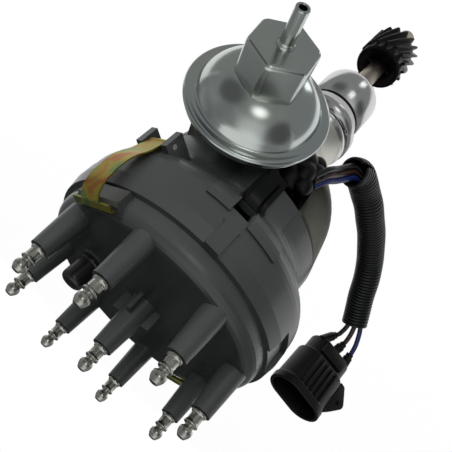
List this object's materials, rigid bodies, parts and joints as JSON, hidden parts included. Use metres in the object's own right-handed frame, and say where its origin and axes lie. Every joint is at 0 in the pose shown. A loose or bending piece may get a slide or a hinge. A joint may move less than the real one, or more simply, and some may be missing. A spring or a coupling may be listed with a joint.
{
  "type": "ignition distributor",
  "caption": "Ignition distributor with towered cap, clip-on adapter, vacuum advance unit, helical drive gear on a through shaft, and a short loomed lead to an oval plug.",
  "frame": {"origin": "on the shaft axis, in the plane of the seating collar's underside", "axes": "+Z along the shaft towards the cap; the vacuum unit's axis points along -Y; the lead leaves towards -X"},
  "size_m": [0.1944, 0.2056, 0.338],
  "materials": {
    "cast_aluminium": "satin casting with a bright machined shank",
    "bronze": "oiled bronze",
    "black_rubber": "matte",
    "steel": "plain steel",
    "shaft_steel": "dull ground steel",
    "gear_iron": "black phosphate",
    "sintered_iron": "sintered",
    "zinc_plate": "bright zinc plate",
    "yellow_plate": "yellow chromate plate",
    "grey_plastic": "satin slate grey moulding",
    "black_plastic": "gloss",
    "dark_plastic": "matte moulding",
    "loom_plastic": "corrugated, satin",
    "rotor_plastic": "moulded phenolic",
    "brass_strip": "polished strip",
    "terminal_metal": "bright turned metal",
    "carbon": "pressed carbon",
    "blue_wire": "insulation",
    "black_wire": "insulation",
    "brown_wire": "insulation",
    "seal_rubber": "soft seal"
  },
  "bodies": {
    "case": {"housing": "cast_aluminium", "upper_bushing": "bronze", "lower_bushing": "bronze", "o_ring": "black_rubber", "thrust_washer": "steel", "base_plate": "zinc_plate", "base_plate_screws": "zinc_plate", "diaphragm": "black_rubber", "diaphragm_spring": "steel", "canister_back_shell": "zinc_plate", "canister_front_shell": "zinc_plate", "hex_body": "zinc_plate", "hose_nozzle": "zinc_plate", "canister_bracket": "zinc_plate", "bracket_screws": "zinc_plate", "cap": "grey_plastic", "cap_towers": "grey_plastic", "ring_terminals": "terminal_metal", "centre_terminal": "terminal_metal", "carbon_button": "carbon", "adapter": "grey_plastic", "adapter_screws": "zinc_plate", "clip_pin_1": "steel", "clip_pin_2": "steel", "vent_plug": "black_plastic", "grommet": "black_rubber", "ground_screw": "yellow_plate", "wire_blue": "blue_wire", "wire_black": "black_wire", "wire_brown": "brown_wire", "loom": "loom_plastic", "connector_body": "dark_plastic", "connector_lock": "dark_plastic", "connector_contacts": "brass_strip", "connector_seal": "seal_rubber"},
    "shaft": {"main_shaft": "shaft_steel", "sleeve_retainer": "steel", "drive_gear": "gear_iron", "gear_roll_pin": "shaft_steel", "weight_plate": "zinc_plate", "weight_spring_1": "steel", "weight_spring_2": "steel"},
    "weight_1": {"advance_weight_1": "steel"},
    "weight_2": {"advance_weight_2": "steel"},
    "sleeve": {"advance_sleeve": "steel", "reluctor": "sintered_iron", "reluctor_pin": "steel", "rotor": "rotor_plastic", "rotor_blade": "brass_strip"},
    "pickup": {"pickup_plate": "zinc_plate", "pickup_pole": "steel", "pickup_coil": "dark_plastic"},
    "vacuum_link": {"vacuum_arm": "zinc_plate", "diaphragm_plate": "zinc_plate"},
    "clip_1": {"spring_clip_1": "yellow_plate"},
    "clip_2": {"spring_clip_2": "yellow_plate"}
  },
  "joints": [
    {"name": "shaft_spin", "type": "hinge", "parent": "case", "child": "shaft", "pos_m": [0, 0, 0], "axis": [0, 0, 1], "continuous": true},
    {"name": "centrifugal_advance", "type": "hinge", "parent": "shaft", "child": "sleeve", "pos_m": [0, 0, 0.07], "axis": [0, 0, 1], "range_deg": [0, 11.5], "stiffness_Nm_per_rad": 0.6, "deforming": ["weight_spring_1", "weight_spring_2"]},
    {"name": "weight_1_swing", "type": "hinge", "parent": "shaft", "child": "weight_1", "pos_m": [0.024, 0, 0.069], "axis": [0, 0, 1], "range_deg": [0, 20]},
    {"name": "weight_2_swing", "type": "hinge", "parent": "shaft", "child": "weight_2", "pos_m": [-0.024, 0, 0.069], "axis": [0, 0, 1], "range_deg": [0, 20]},
    {"name": "pickup_turn", "type": "hinge", "parent": "case", "child": "pickup", "pos_m": [0, 0, 0.084], "axis": [0, 0, -1], "range_deg": [0, 11.5], "stiffness_Nm_per_rad": 0.5, "deforming": ["diaphragm", "diaphragm_spring"]},
    {"name": "vacuum_pull", "type": "slide", "parent": "case", "child": "vacuum_link", "axis": [0, -1, 0], "range_m": [0, 0.0061]},
    {"name": "clip_1_open", "type": "hinge", "parent": "case", "child": "clip_1", "pos_m": [0.03821, -0.05259, 0.126], "axis": [0.809, 0.5878, 0], "range_deg": [0, 70]},
    {"name": "clip_2_open", "type": "hinge", "parent": "case", "child": "clip_2", "pos_m": [-0.03821, 0.05259, 0.126], "axis": [-0.809, -0.5878, 0], "range_deg": [0, 70]}
  ],
  "couplings": [
    {"joint": "weight_1_swing", "follows": "centrifugal_advance", "ratio": 1.7},
    {"joint": "weight_2_swing", "follows": "centrifugal_advance", "ratio": 1.7},
    {"joint": "vacuum_pull", "follows": "pickup_turn", "m_per_rad": 0.03}
  ]
}
